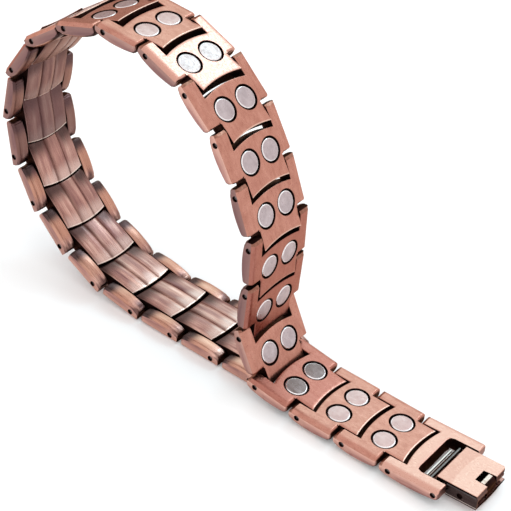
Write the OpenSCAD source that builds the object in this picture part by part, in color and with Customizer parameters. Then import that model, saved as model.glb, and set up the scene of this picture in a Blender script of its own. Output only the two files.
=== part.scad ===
// Link bracelet in antique copper with two round magnets in each link.
// It stands unclasped: the clasp end lies flat, then the band rises as a
// column, turns over in an upright loop and comes back along the ground.
//
// Each link is drawn in its own frame: x runs along the band towards the
// clasp from the link's own hinge pin, y runs across the band from its near
// side, and z points out of the skin side. Links are then set along the loop.

/* [Band] */
// Width of the band over both ears
band_w = 15.2; // [14.8:0.1:16]
// Distance from one hinge pin to the next
pitch = 9.1; // [9:0.05:9.4]
// Height of the skin face above the hinge pins
skin_h = 1.07; // [1:0.01:1.2]
// Depth of the crowned outer face below the hinge pins
crown_h = 1.93; // [1.8:0.01:2.1]
// Sideways step from each link to the next, taken up by the play at the pins
side_step = 0.132; // [0:0.004:0.16]

/* [Ears] */
// Width of each ear across the band
ear_w = 2.45; // [2.3:0.05:2.5]
// Reach of an ear past its own pin, away from the clasp
ear_back = 1.66; // [1.4:0.02:1.8]
// Gap between the ears of neighbouring links
ear_gap = 0.69; // [0.6:0.01:0.8]
// Depth of an ear's bowed outer face at its middle
ear_mid_h = 1.45; // [1.3:0.01:1.6]
// Rise of an ear's bowed outer face from its middle to its ends
ear_bow = 0.5; // [0.3:0.01:0.6]
// Rounding of an ear's ends on the skin side
ear_round = 0.5; // [0.4:0.02:0.6]
// Chamfer between an ear's skin face and its side
skin_bevel = 0.5; // [0.3:0.01:0.6]
// Height at which the bevel between side and outer face starts
side_bevel = 0.65; // [0.55:0.01:0.8]

/* [Centre plate] */
// Play between a tongue and the ears beside it
play = 0.27; // [0.25:0.01:0.35]
// Reach of a tongue past its pin, at mid width
knuckle = 0.65; // [0.6:0.01:0.7]
// Gap between a tongue and the next centre plate
plate_gap = 0.74; // [0.6:0.01:0.8]
// Bulge of the gap's arc, away from the clasp
arc_bulge = 0.6; // [0.4:0.01:0.7]
// Drop from the middle facet of the outer face to its edges
facet_drop = 0.3; // [0.2:0.01:0.5]
// Rise of the outer face from mid length to its ends
plate_bow = 0.2; // [0.1:0.01:0.3]
// Depth of the web that joins the ears, below the hinge pins
web_h = 0.55; // [0.5:0.01:0.65]

/* [Magnets] */
// Diameter of a magnet
magnet_d = 3.96; // [3.6:0.02:4]
// Diameter of its pocket
pocket_d = 4.5; // [4.4:0.02:4.6]
// Depth of the pocket
pocket_h = 0.8; // [0.6:0.02:0.9]
// Distance between the two magnets of a link
magnet_gap = 5.32; // [5:0.02:5.4]
// Place of the magnets along the link, from its own pin
magnet_x = 5.08; // [4.8:0.02:5.2]
// How far a magnet lies below the skin face
magnet_sink = 0.05; // [0.02:0.01:0.2]
// Width of the bevel round a magnet's rim
magnet_rim = 0.16; // [0.1:0.01:0.2]

/* [Pins] */
// Diameter of every pin and bar
pin_d = 0.8; // [0.7:0.02:0.8]
// Diameter of the pins' holes
bore_d = 0.9; // [0.88:0.02:0.94]
// How far a hinge pin lies below the side faces
pin_sink = 0.35; // [0.2:0.01:0.5]

/* [End links] */
// Distance from the first hinge pin to the clasp's pin
clasp_pin_x = 8.6; // [8.5:0.05:8.8]
// Reach of the end link's ears past the clasp's pin
end_ear_reach = 1.2; // [1.1:0.05:1.4]
// Edge of the slot in the end link, from the first hinge pin
slot_x = 3.9; // [3.7:0.05:4]
// Radius of the slot's corners
slot_r = 0.9; // [0.5:0.05:1]
// Place of the bar that the clasp snaps on, from the first hinge pin
snap_bar_x = 6.25; // [6.2:0.01:6.3]
// Length of the far end link from its hinge pin to the catch bar
far_pitch = 8.5; // [8.4:0.05:8.6]

/* [Clasp] */
// Width of the clasp
clasp_w = 9.3; // [9:0.05:9.4]
// Left end of the clasp's plate, from the first hinge pin
plate_x0 = 7.1; // [7:0.02:7.2]
// Right end of the clasp's plate
plate_x1 = 14.7; // [14.6:0.02:14.8]
// Height of the plate's face above the hinge pins
plate_top = 0.97; // [0.9:0.01:1]
// Thickness of the plate
plate_t = 0.8; // [0.7:0.01:0.85]
// Place of the cover's hinge pin
cover_pin_x = 13.95; // [13.9:0.01:14]
// Width of the notch in the plate
notch_w = 2.9; // [2.7:0.05:3]
// Inner end of the notch
notch_x = 12; // [11.8:0.05:12.2]
// Depth of the cover's inner face below its hinge pin
cover_in = 1.2; // [1.15:0.01:1.25]
// Depth of the cover's outer face below its hinge pin
cover_out = 1.75; // [1.7:0.01:1.8]
// Left end of the cover
cover_x0 = 4.4; // [4.35:0.01:4.5]
// Right end of the cover
cover_x1 = 14.95; // [14.8:0.01:15]
// Rounding of the cover's two corners, seen from above
cover_round = 0.5; // [0.3:0.05:0.6]
// Thickness of the cover's side walls
cover_wall = 0.6; // [0.5:0.02:0.7]

/* [Hidden] */
$fn = 64;
eps = 0.01;

// The loop as photographed. Turn at each hinge pin, from link 1 on, in degrees:
// flat for two links, sharply up into the column, over the top and down again.
// The links after these have come down and lie on the ground.
turns = [
    0, 0, -7.5, -54, -29.5, 3.5, 21.5, 8.5, 16, 19.5,
    19, 22, 18, 21, 23.5, 19.5, 19, 16, 16.5
];
last_turned = len(turns);
// Heights of the last four pins, where the band has landed on the ground
landed = [1.25, 1.09, 1.073, 1.071];
// Tilt of the end link, which the clasp lifts a little at its tip
end_link_tilt = 3.5;
// Sideways places of the end link and of links 1 to 3, which lie on the ground
tail_sides = [0.5, 0.43, 0.37, 0.4];
magnet_links = 22;
far_link = magnet_links + 1;

// Distance between the two pins of link i
function link_length(i) = i == far_link ? far_pitch : pitch;

// Direction of link i towards the clasp, in degrees above level
function heading(i) =
    i == 0 ? end_link_tilt
    : i <= last_turned ? sum_turns(i)
    : 180 - asin((pin_at(i - 1)[1] - landed[i - last_turned - 1]) / link_length(i));
function sum_turns(i) = i == 0 ? 0 : sum_turns(i - 1) + turns[i - 1];

// Place [x, z] of link i's own hinge pin, at the end away from the clasp
function pin_at(i) =
    i == 0 ? [0, crown_h]
    : pin_at(i - 1) - link_length(i) * [cos(heading(i)), sin(heading(i))];

// The origin lies on the ground under the middle of the whole bracelet
centre_x = -36.514;
centre_y = 9.303;

mid_y = band_w / 2;
ear_front = pitch - ear_back - ear_gap;
tongue_y = ear_w + play;
tongue_w = band_w - 2 * tongue_y;
facet_w = tongue_w / 3;
facet_tilt = atan(facet_drop / facet_w);
arc_r = bow_radius(tongue_w / 2, arc_bulge);
plate_edge = knuckle + plate_gap;
deep = 4;

// Radius of an arc from half its chord and its rise
function bow_radius(half, rise) = (half * half + rise * rise) / (2 * rise);

// Sideways place of link i
function side_at(i) = i < len(tail_sides) ? tail_sides[i] : i * side_step;

// Moves a link's piece to its place along the loop
module at_link(i) {
    translate([pin_at(i)[0] - centre_x, side_at(i) - centre_y, pin_at(i)[1]])
        rotate([0, -heading(i), 0])
            children();
}

// Extrudes an outline in x and z across the band, from y0 over a width w
module across(y0, w) {
    translate([0, y0 + w, 0])
        rotate([90, 0, 0])
            linear_extrude(w)
                children();
}

// Hole or rod across the band at x, z
module rod(x, d, y0 = -1, w = band_w + 2, z = 0) {
    across(y0, w)
        translate([x, z])
            circle(d = d);
}

// What is cut from a square corner at the origin to round it
module corner(r) {
    difference() {
        translate([-eps, -eps])
            square(r + eps);
        translate([r, r])
            circle(r);
    }
}

// Outline of an ear: flat on the skin side, bowed on the outer side
module ear_outline(front) {
    half = (front + ear_back) / 2;
    r = bow_radius(half, ear_bow);
    end_h = ear_mid_h - ear_bow;
    difference() {
        intersection() {
            translate([-ear_back, -deep])
                square([2 * half, deep + skin_h]);
            translate([front - half, r - ear_mid_h])
                circle(r, $fn = 360);
        }
        translate([-ear_back, -end_h])
            corner(ear_round + 0.1);
        translate([-ear_back, skin_h])
            mirror([0, 1])
                corner(ear_round);
        translate([front, -end_h])
            mirror([1, 0])
                corner(ear_round - 0.1);
        translate([front, skin_h])
            rotate(180)
                corner(ear_round);
    }
}

// Near ear with its two bevels along the side
module ear(front) {
    length = front + ear_back;
    difference() {
        across(0, ear_w)
            ear_outline(front);
        translate([-ear_back - 1, 0, skin_h])
            rotate([45, 0, 0])
                cube([2 * length + 4, skin_bevel * sqrt(2), skin_bevel * sqrt(2)], center = true);
        translate([-ear_back - 1, 0, 0])
            rotate([90, 0, 90])
                linear_extrude(length + 2)
                    polygon([[-1, 1 - side_bevel], [-1, -deep], [deep - side_bevel, -deep]]);
    }
}

module ears(front) {
    ear(front);
    translate([0, band_w, 0])
        mirror([0, 1, 0])
            ear(front);
}

// Block with the bowed outer face, from the plate's edge to the tongue's tip
module bow_block(length) {
    half = (length + knuckle - plate_edge) / 2;
    r = bow_radius(half, plate_bow);
    across(-band_w, 3 * band_w)
        intersection() {
            translate([-deep, -deep])
                square([length + 3 * deep, 3 * deep]);
            translate([plate_edge + half, r - crown_h])
                circle(r, $fn = 360);
        }
}

// Turns a bow block about one of the two creases of the outer face
module side_facet(y, tilt, length) {
    translate([0, y, -crown_h])
        rotate([tilt, 0, 0])
            translate([0, -y, crown_h])
                bow_block(length);
}

// Everything on the clasp side of the plate's arc, as seen from the skin side
module plate_side() {
    translate([plate_edge + arc_r, mid_y, -deep])
        cylinder(r = arc_r, h = 2 * deep, $fn = 360);
}

// Centre plate of a link with its tongue: three facets outside, flat inside
module centre_plate(length) {
    difference() {
        intersection() {
            plate_side();
            translate([0, tongue_y, -deep])
                cube([length + deep, tongue_w, deep + skin_h]);
            bow_block(length);
            side_facet(tongue_y + facet_w, -facet_tilt, length);
            side_facet(band_w - tongue_y - facet_w, facet_tilt, length);
        }
        translate([length + plate_edge + arc_r, mid_y, -2 * deep])
            cylinder(r = arc_r + plate_gap, h = 4 * deep, $fn = 360);
    }
}

// Slab that joins the ears, up to x
module web(x) {
    intersection() {
        plate_side();
        translate([0, ear_w - 0.3, -web_h])
            cube([x, band_w - 2 * ear_w + 0.6, web_h + skin_h]);
    }
}

// Pocket for a magnet in the skin face
module pocket(side) {
    translate([magnet_x, mid_y + side * magnet_gap / 2, skin_h - pocket_h])
        cylinder(d = pocket_d, h = 1);
}

// A whole link of the given length, with its two rows of holes
module plain_link(length) {
    front = length - ear_back - ear_gap;
    difference() {
        union() {
            ears(front);
            centre_plate(length);
            web(front);
        }
        rod(0, bore_d);
        rod(length, bore_d);
    }
}

module magnet_link(i) {
    color("peru")
        at_link(i)
            difference() {
                plain_link(pitch);
                pocket(-1);
                pocket(1);
            }
}

module far_end_link() {
    color("peru")
        at_link(far_link)
            plain_link(far_pitch);
}

// End link that carries the clasp: a bridge with long ears round a slot
module end_link() {
    front = clasp_pin_x + end_ear_reach;
    color("peru")
        at_link(0)
            difference() {
                union() {
                    ears(front);
                    web(slot_x + slot_r);
                    intersection() {
                        centre_plate(pitch);
                        cube([2 * slot_x, 2 * band_w, 2 * deep], center = true);
                    }
                }
                slot();
                rod(0, bore_d);
                rod(clasp_pin_x, bore_d);
                rod(snap_bar_x, bore_d, y0 = ear_w - 0.8, w = band_w - 2 * ear_w + 1.6);
            }
}

// Opening between the end link's ears, with two rounded corners
module slot() {
    w = band_w - 2 * ear_w;
    translate([0, ear_w, -deep])
        linear_extrude(2 * deep)
            union() {
                translate([slot_x + slot_r, 0])
                    square([30, w]);
                translate([slot_x, slot_r])
                    square([slot_r + eps, w - 2 * slot_r]);
                translate([slot_x + slot_r, slot_r])
                    circle(slot_r);
                translate([slot_x + slot_r, w - slot_r])
                    circle(slot_r);
            }
}

// Magnet with a bevelled rim
module magnet(i, side) {
    h = pocket_h - magnet_sink;
    at_link(i)
        translate([magnet_x, mid_y + side * magnet_gap / 2, skin_h - pocket_h]) {
            cylinder(d = magnet_d, h = h - magnet_rim);
            translate([0, 0, h - magnet_rim])
                cylinder(d1 = magnet_d, d2 = magnet_d - 2 * magnet_rim, h = magnet_rim);
        }
}

module magnet_row(side) {
    color("silver")
        for (i = [1 : magnet_links])
            magnet(i, side);
}

module magnets_near_row() {
    magnet_row(-1);
}

module magnets_far_row() {
    magnet_row(1);
}

module link_pins() {
    color("dimgray")
        for (i = [0 : magnet_links])
            at_link(i)
                rod(0, pin_d, y0 = pin_sink, w = band_w - 2 * pin_sink);
}

module catch_bar() {
    color("lightgray")
        at_link(far_link)
            rod(0, pin_d, y0 = pin_sink, w = band_w - 2 * pin_sink);
}

module snap_bar() {
    color("lightgray")
        at_link(0)
            rod(snap_bar_x, pin_d, y0 = ear_w - 0.7, w = band_w - 2 * ear_w + 1.4);
}

module clasp_pin() {
    color("dimgray")
        at_link(0)
            rod(clasp_pin_x, pin_d, y0 = pin_sink, w = band_w - 2 * pin_sink);
}

clasp_y = (band_w - clasp_w) / 2;
plate_barrel_r = 0.95;
cover_barrel_r = 0.85;
cover_play = 0.15;
notch_y = mid_y - notch_w / 2;

// Plate of the clasp: a barrel on the end link's pin, two legs on the cover's pin
module clasp_plate() {
    barrel_y = clasp_y + cover_wall + 0.2;
    nip = 0.28;
    color("peru")
        at_link(0)
            difference() {
                union() {
                    across(clasp_y, clasp_w) {
                        difference() {
                            translate([plate_x0, plate_top - plate_t])
                                square([plate_x1 - plate_x0, plate_t]);
                            translate([plate_x1, plate_top])
                                rotate(180)
                                    corner(nip);
                            translate([plate_x0, plate_top])
                                mirror([0, 1])
                                    corner(0.12);
                        }
                        translate([cover_pin_x, 0])
                            circle(cover_barrel_r);
                    }
                    rod(clasp_pin_x, 2 * plate_barrel_r, y0 = barrel_y, w = band_w - 2 * barrel_y);
                }
                translate([notch_x, notch_y, -deep])
                    cube([10, notch_w, 2 * deep]);
                rod(clasp_pin_x, bore_d);
                rod(cover_pin_x, bore_d);
            }
}

module cover_pin() {
    color("dimgray")
        at_link(0)
            rod(cover_pin_x, pin_d, y0 = clasp_y + 0.15, w = clasp_w - 0.3);
}

// Cover of the clasp: a shallow tray under the plate, with the same facets
// outside, a knuckle in the plate's notch and a lip that snaps on the bar
module clasp_cover() {
    length = cover_x1 - cover_x0;
    edge_h = 0.3;
    wall_top = 0.02;
    wall_x1 = cover_pin_x - 1.05;
    lip_w = 8;
    stub_x = cover_pin_x + 0.95;
    color("peru")
        at_link(0)
            difference() {
                union() {
                    // floor of the tray with its facets
                    translate([cover_x0, clasp_y, 0])
                        rotate([90, 0, 90])
                            linear_extrude(length)
                                polygon([
                                    [0, -cover_in],
                                    [0, edge_h - cover_out],
                                    [clasp_w / 3, -cover_out],
                                    [2 * clasp_w / 3, -cover_out],
                                    [clasp_w, edge_h - cover_out],
                                    [clasp_w, -cover_in]
                                ]);
                    // side walls
                    for (y = [clasp_y, clasp_y + clasp_w - cover_wall])
                        translate([plate_x0, y, -cover_in - eps])
                            cube([wall_x1 - plate_x0, cover_wall, cover_in + wall_top + eps]);
                    // knuckle and its foot
                    across(notch_y + cover_play, notch_w - 2 * cover_play) {
                        translate([cover_pin_x, 0])
                            circle(cover_barrel_r);
                        translate([cover_pin_x - 0.6, -cover_in - eps])
                            square([0.6 + cover_barrel_r, cover_in + eps]);
                    }
                    // lip in the end link's slot
                    translate([cover_x0 + 0.5, mid_y - lip_w / 2, -cover_in - eps])
                        cube([0.8, lip_w, cover_in + 0.1 + eps]);
                    // end of the tray past the knuckle
                    translate([stub_x, clasp_y, -cover_in - eps])
                        cube([cover_x1 - stub_x, clasp_w, 0.35]);
                }
                // rounded corners at the tray's end
                translate([cover_x1, clasp_y, -deep])
                    linear_extrude(2 * deep)
                        mirror([1, 0])
                            corner(cover_round);
                translate([cover_x1, clasp_y + clasp_w, -deep])
                    linear_extrude(2 * deep)
                        rotate(180)
                            corner(cover_round);
                rod(cover_pin_x, bore_d);
                // room for the end link's pin in both walls
                translate([clasp_pin_x - 0.65, 0, -0.65])
                    cube([1.3, band_w, deep]);
                // finger nick in the near wall
                rod(11.5, 1, y0 = clasp_y - 1, w = 1.25, z = -0.62);
            }
}

end_link();
for (i = [1 : magnet_links])
    magnet_link(i);
far_end_link();
magnets_near_row();
magnets_far_row();
link_pins();
catch_bar();
snap_bar();
clasp_plate();
clasp_pin();
clasp_cover();
cover_pin();
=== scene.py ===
"""Link bracelet in antique copper, standing in an upright loop with its clasp end flat."""

import math

import bmesh
import bpy
import numpy as np
from mathutils import Matrix, Vector


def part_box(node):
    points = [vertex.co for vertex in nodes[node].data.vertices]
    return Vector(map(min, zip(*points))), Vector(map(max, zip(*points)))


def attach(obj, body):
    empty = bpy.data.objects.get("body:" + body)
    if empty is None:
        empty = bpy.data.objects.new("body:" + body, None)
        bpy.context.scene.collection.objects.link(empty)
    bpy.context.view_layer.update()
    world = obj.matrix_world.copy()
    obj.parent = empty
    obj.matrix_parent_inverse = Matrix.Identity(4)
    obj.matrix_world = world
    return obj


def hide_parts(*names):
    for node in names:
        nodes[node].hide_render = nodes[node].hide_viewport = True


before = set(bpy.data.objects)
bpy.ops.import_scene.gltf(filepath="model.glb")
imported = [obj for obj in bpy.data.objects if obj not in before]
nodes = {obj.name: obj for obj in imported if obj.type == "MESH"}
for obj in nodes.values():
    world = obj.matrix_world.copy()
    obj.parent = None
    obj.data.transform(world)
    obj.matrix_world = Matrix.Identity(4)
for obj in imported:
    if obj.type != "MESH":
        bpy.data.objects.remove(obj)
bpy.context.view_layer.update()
scene = bpy.context.scene

# Camera fitted to the photograph: its right, up and back directions and its place
cam_data = bpy.data.cameras.new("camera")
cam_data.lens = 110.76
cam_data.sensor_width = 36.0
cam_data.clip_start = 0.01
cam = bpy.data.objects.new("camera", cam_data)
scene.collection.objects.link(cam)
right = (0.78799, 0.60893, 0.09094)
up = (-0.42817, 0.43585, 0.79165)
back = (0.44242, -0.66275, 0.60417)
place = (0.116924, -0.174373, 0.18052)
cam.matrix_world = Matrix([(right[i], up[i], back[i], place[i]) for i in range(3)] + [(0, 0, 0, 1)])
scene.camera = cam
scene.view_settings.view_transform = "Standard"

# Sizes of a link, in millimetres, in its own frame: x along the band towards the
# clasp from the link's own pin, y across the band from its near side, z out of
# the skin side
MM = 0.001
BAND_W = 15.2
MID_Y = BAND_W / 2
PITCH = 9.1
SKIN_H = 1.07
CROWN_H = 1.93
EAR_W = 2.45
EAR_BACK = 1.66
EAR_GAP = 0.69
EAR_MID_H = 1.45
EAR_BOW = 0.5
EAR_ROUND = 0.5
EAR_BACK_ROUND = 0.6
EAR_FRONT_ROUND = 0.4
EAR_TIP_ROUND = 0.2
EAR_CORNER = 0.45
EAR_FLAT_Y = 1.2
SKIN_BEVEL = 0.5
EAR_EDGE_W = 0.45
EAR_EDGE_H = 0.35
BACK_FACET_RUN = 0.5
BACK_FACET_FALL = 0.34
TONGUE_Y = 2.72
PLATE_EDGE = 1.39
PLATE_GAP = 0.74
ARC_BULGE = 0.6
PLATE_BOW = 0.2
FACET_W = (BAND_W - 2 * TONGUE_Y) / 3
FACET_DROP = 0.3
FACET_CROWN = 0.05
FACET_GROOVE = 0.16
FACET_CREASE = 0.09
WEB_H = 0.55
BORE_D = 0.9
POCKET_D = 4.4
POCKET_H = 0.8
MAGNET_D = 3.9
MAGNET_X = 5.08
MAGNET_GAP = 5.32
MAGNET_SINK = 0.05
MAGNET_RIM = 0.22
MAGNET_DOME = 0.05
RIM = 0.12
FLARE = 0.07
LAST_MAGNET_LINK = 22
FAR_LINK = 23
FAR_PITCH = 8.5

# How far the ears' creases are softened: the first two on the skin side, the others on the outer side
SOFT_IN = 0.05
SOFT_OUT = 0.07
CREASE_W = 0.06
CREASE_DROP = 0.03

# Sizes of the end link and the clasp, in the end link's frame
CLASP_PIN_X = 8.6
END_EAR_REACH = 0.85
SLOT_X = 3.9
SLOT_R = 0.9
CLASP_Y = 2.95
PLATE_X0 = 7.2
PLATE_X1 = 14.7
PLATE_Y0 = 3.4
PLATE_Y1 = 12.5
PLATE_TOP = 0.97
PLATE_T = 0.8
PLATE_CORNER = 0.35
PLATE_BEVEL = 0.09
BARREL_R = 0.95
BARREL_INSET = 0.7
LEG_R = 0.92
NOTCH_X = 12.25
NOTCH_Y0 = 6.55
NOTCH_Y1 = 9.45
NOTCH_PLAY = 0.12
COVER_PIN_X = 13.95
COVER_X0 = 4.4
COVER_X1 = 15.0
COVER_LOW = -1.3
TRAY_TOP = -1.26
TRAY_SIDE = -1.42
TRAY_FLOOR = -1.75
TRAY_INSET = 0.12
SIDE_WALL = 0.4
WALL_X0 = 9.3
FAR_WALL_X1 = 12.9
WALL_FOOT = -1.02
WALL_TOP = 0.72
FAR_WALL_TOP = 0.1
WALL_CORNER = 0.35
LINE_H = 0.14
FOOT_GAP = 0.12
NICK_X = 11.85
NICK_Z = -0.3
NICK_R = 0.62
NICK_FLOOR_R = 0.48
NICK_FLOOR_Y = 3.2
KNUCKLE_R = 0.85
KNUCKLE_TOP = 0.84
CAP_TOP = 0.9
LIP_Y0 = 3.5
LIP_Y1 = 11.15

# The two ridges of the lip: x from, x to and top
RIDGES = ((5.1, 5.45, 0.12), (5.6, 5.76, 0.1))

# Material slots of the links, of the magnet rows, of the clasp plate and of the clasp cover
SKIN, SIDE, OUTER, DARK, FACET = range(5)
PLAIN, WARM, SHADED_FACE, BRIGHT_RIM, GREY = range(5)
FACE, EDGES, LEGS = range(3)
BRONZE, CREAM, LIP, PATINA_AND_SHADE, UNDERSIDE = range(5)


def bow_radius(half, rise):
    """Radius of an arc from half its chord and its rise"""
    return (half * half + rise * rise) / (2 * rise)


ARC_R = bow_radius(MID_Y - TONGUE_Y, ARC_BULGE)


def arc_edge(y):
    """Edge of the centre plate, where the gap's arc begins"""
    return PLATE_EDGE + ARC_R - np.sqrt(ARC_R**2 - (y - MID_Y) ** 2)


def tongue_tip(y, length):
    """Tip of the tongue that reaches the next link's gap"""
    return length + PLATE_EDGE + ARC_R - np.sqrt((ARC_R + PLATE_GAP) ** 2 - (y - MID_Y) ** 2)


def slot_edge(y):
    """Edge of the end link's slot, with its two round corners"""
    near = np.minimum(y, BAND_W - y) - EAR_W
    inset = np.clip(SLOT_R - near, 0, SLOT_R)
    return SLOT_X + SLOT_R - np.sqrt(SLOT_R**2 - inset**2)


# Four stops across a rounded rim: share of its radius from the edge, and share of its drop
RIM_STOPS = [1 - math.cos(math.radians(a)) for a in (0, 30, 60, 90)]


def rim_drop(distance, radius=RIM):
    """How far a rounded rim lies below the face at a distance from the edge"""
    inside = np.clip(radius - distance, 0, radius)
    return radius - np.sqrt(radius**2 - inside**2)


# Closed meshes from bands of cells
class Band:
    """Cells between two surfaces: rows first to last of points [row, column, xyz]"""

    def __init__(self, first, last, top, bottom, top_slot, bottom_slot, end_slot=DARK):
        self.first, self.last = first, last
        self.end_slot = end_slot
        self.facet_end = first
        self.top, self.bottom = top, bottom
        self.top_slot, self.bottom_slot = top_slot, bottom_slot

    def slot_at(self, i):
        return FACET if i < self.facet_end else self.top_slot


def band_polygons(band):
    """Top, bottom and end faces of one band"""
    polygons = []
    columns = band.top.shape[1]
    for i in range(band.first, band.last):
        for j in range(columns - 1):
            for points, slot in ((band.top, band.slot_at(i)), (band.bottom, band.bottom_slot)):
                corners = [points[i, j], points[i + 1, j], points[i + 1, j + 1], points[i, j + 1]]
                polygons.append((corners, slot))
    for i in (band.first, band.last):
        for j in range(columns - 1):
            corners = [band.top[i, j], band.top[i, j + 1], band.bottom[i, j + 1], band.bottom[i, j]]
            polygons.append((corners, band.end_slot if i == band.last else DARK))
    return polygons


def seam_polygons(left, right):
    """Upright faces between two neighbouring bands, or along an outer side"""
    polygons = []
    rows = range(min(b.first for b in (left, right) if b), max(b.last for b in (left, right) if b))
    for i in rows:
        in_left = left is not None and left.first <= i < left.last
        in_right = right is not None and right.first <= i < right.last
        if in_left and in_right:
            for a, b in ((left.top[:, -1], right.top[:, 0]), (left.bottom[:, -1], right.bottom[:, 0])):
                polygons.append(([a[i], a[i + 1], b[i + 1], b[i]], DARK))
        elif in_left or in_right:
            band, column = (left, -1) if in_left else (right, 0)
            top, bottom = band.top[:, column], band.bottom[:, column]
            slot = SIDE if left is None or right is None else DARK
            polygons.append(([top[i], top[i + 1], bottom[i + 1], bottom[i]], slot))
    return polygons


def cell_solid(name, bands):
    """One closed mesh of neighbouring bands, with all their upright faces joined at shared points"""
    polygons = []
    for band in bands:
        polygons += band_polygons(band)
    for left, right in zip([None] + bands, bands + [None]):
        polygons += seam_polygons(left, right)
    bm = bmesh.new()
    found = {}
    columns = {}

    def vertex(point):
        key = tuple(int(round(c * 1e4)) for c in point)
        if key not in found:
            found[key] = bm.verts.new([c * MM for c in point])
            columns.setdefault(key[:2], set()).add(key)
        return key

    loops = [([vertex(p) for p in corners], slot) for corners, slot in polygons]
    done = set()
    for keys, slot in loops:
        ring = []
        for a, b in zip(keys, keys[1:] + keys[:1]):
            if a == b:
                continue
            ring.append(a)
            if a[:2] == b[:2]:
                low, high = sorted((a[2], b[2]))
                between = sorted(k for k in columns[a[:2]] if low < k[2] < high)
                ring += between if a[2] < b[2] else between[::-1]
        if len(ring) < 3 or len(set(ring)) < len(ring) or frozenset(ring) in done:
            continue
        done.add(frozenset(ring))
        face = bm.faces.new([found[k] for k in ring])
        face.material_index = slot
    return closed_mesh(name, bm)


# Rows and columns of a link
def spread(start, end, count):
    """Even stops between start and end, without the two"""
    return [start + (end - start) * k / count for k in range(1, count)]


def round_stops(radius, count=10):
    """Stops across a rounded end, closest at its outside"""
    return [radius * (1 - math.cos(math.pi / 2 * k / count)) for k in range(count + 1)]


def clip_y(y):
    return np.clip(y, EAR_W, BAND_W - EAR_W)


def row_grid(length, front, end_link):
    """x of every row at y, with the numbers of the rows at the arc's edge, the ears' front and the end"""
    def fixed(x):
        return lambda y: x + 0 * y

    def between(a, b, count):
        return [lambda y, t=k / count: a(y) * (1 - t) + b(y) * t for k in range(1, count)]

    rows = [fixed(-EAR_BACK + s) for s in round_stops(EAR_BACK_ROUND)]
    edges = [lambda y, s=s: arc_edge(clip_y(y)) + s * RIM for s in RIM_STOPS]
    rows += between(rows[-1], edges[0], 7)
    edge_row = len(rows)
    rows += edges
    front_stops = [fixed(front - s) for s in reversed(round_stops(EAR_ROUND))]
    if end_link:
        ends = [lambda y, s=s: slot_edge(clip_y(y)) - s * RIM for s in reversed(RIM_STOPS)]
        rows += between(edges[-1], ends[0], 6)
        rows += ends
        end_row = len(rows) - 1
        rows += between(ends[-1], front_stops[0], 9)
        rows += front_stops
        return rows, edge_row, len(rows) - 1, end_row
    ends = [lambda y, s=s: tongue_tip(clip_y(y), length) - s * RIM for s in reversed(RIM_STOPS)]
    rows += between(edges[-1], front_stops[0], 10)
    rows += front_stops
    front_row = len(rows) - 1
    rows += between(front_stops[-1], ends[0], 7)
    rows += ends
    return rows, edge_row, front_row, len(rows) - 1


def ear_band(rows, front_row, front, end_link):
    """Near ear: bevelled along both its edges, bowed on the outer side, with its ends rounded"""
    half = (front + EAR_BACK) / 2
    radius = bow_radius(half, EAR_BOW)
    end_h = EAR_MID_H - EAR_BOW
    arc_x = arc_edge(EAR_W)
    rims = [EAR_W - s * RIM for s in reversed(RIM_STOPS)]
    top_y = [0, SOFT_IN, SKIN_BEVEL - SOFT_IN, SKIN_BEVEL + SOFT_OUT, EAR_FLAT_Y] + rims
    top_drop = [SKIN_BEVEL + SOFT_OUT, SKIN_BEVEL - SOFT_IN, SOFT_IN] + [0] * (len(top_y) - 3)
    low_y = [0, SOFT_IN, EAR_EDGE_W - CREASE_W, EAR_EDGE_W + CREASE_W]
    low_y += [(low_y[-1] + rims[0]) / 2] + rims
    top = np.zeros((len(rows), len(top_y), 3))
    bottom = np.zeros((len(rows), len(low_y), 3))
    for i in range(front_row + 1):
        x = float(rows[i](np.float64(0)))
        back_d, front_d = x + EAR_BACK, front - x
        ends = SKIN_H - max(0, BACK_FACET_FALL * (1 - back_d / BACK_FACET_RUN))
        ends = min(ends, SKIN_H - float(rim_drop(front_d, EAR_TIP_ROUND if end_link else EAR_ROUND)))
        depth = EAR_MID_H - radius + math.sqrt(max(0, radius**2 - (x - front + half) ** 2))
        if back_d < EAR_BACK_ROUND:
            depth = min(depth, end_h - float(rim_drop(back_d, EAR_BACK_ROUND)))
        if front_d < EAR_FRONT_ROUND:
            depth = min(depth, end_h - float(rim_drop(front_d, EAR_FRONT_ROUND)))
        inset = EAR_CORNER - math.sqrt(EAR_CORNER**2 - max(0, EAR_CORNER - front_d) ** 2)
        for j, (y, drop) in enumerate(zip(top_y, top_drop)):
            inner = EAR_W - y if x <= arc_x else math.hypot(EAR_W - y, x - arc_x)
            high = min(SKIN_H - drop, ends) - float(rim_drop(inner))
            top[i, j] = (x, y + inset * (1 - y / EAR_W), high)
        for j, y in enumerate(low_y):
            side = depth - EAR_EDGE_H + y * EAR_EDGE_H / EAR_EDGE_W - (SOFT_IN if y == 0 else 0)
            low = min(side, depth, (side + depth) / 2 - CREASE_DROP) - float(rim_drop(EAR_W - y))
            bottom[i, j] = (x, y + inset * (1 - y / EAR_W), -low)
    band = Band(0, front_row, top, bottom, SKIN, OUTER, SIDE if end_link else DARK)
    facet_x = BACK_FACET_RUN - EAR_BACK
    band.facet_end = sum(float(row(np.float64(0))) < facet_x - 0.02 for row in rows)
    return band


def web_band(rows, edge_row, front_row):
    """Strip that joins the near ear to the centre plate"""
    ys = [EAR_W, TONGUE_Y]
    top = np.zeros((len(rows), 2, 3))
    bottom = np.zeros((len(rows), 2, 3))
    for i, row in enumerate(rows):
        for j, y in enumerate(ys):
            x = float(row(np.float64(y)))
            high = SKIN_H - float(rim_drop(x - arc_edge(y)))
            top[i, j] = (x, y, high)
            bottom[i, j] = (x, y, -WEB_H)
    return Band(edge_row, front_row, top, bottom, SKIN, DARK)


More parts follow.
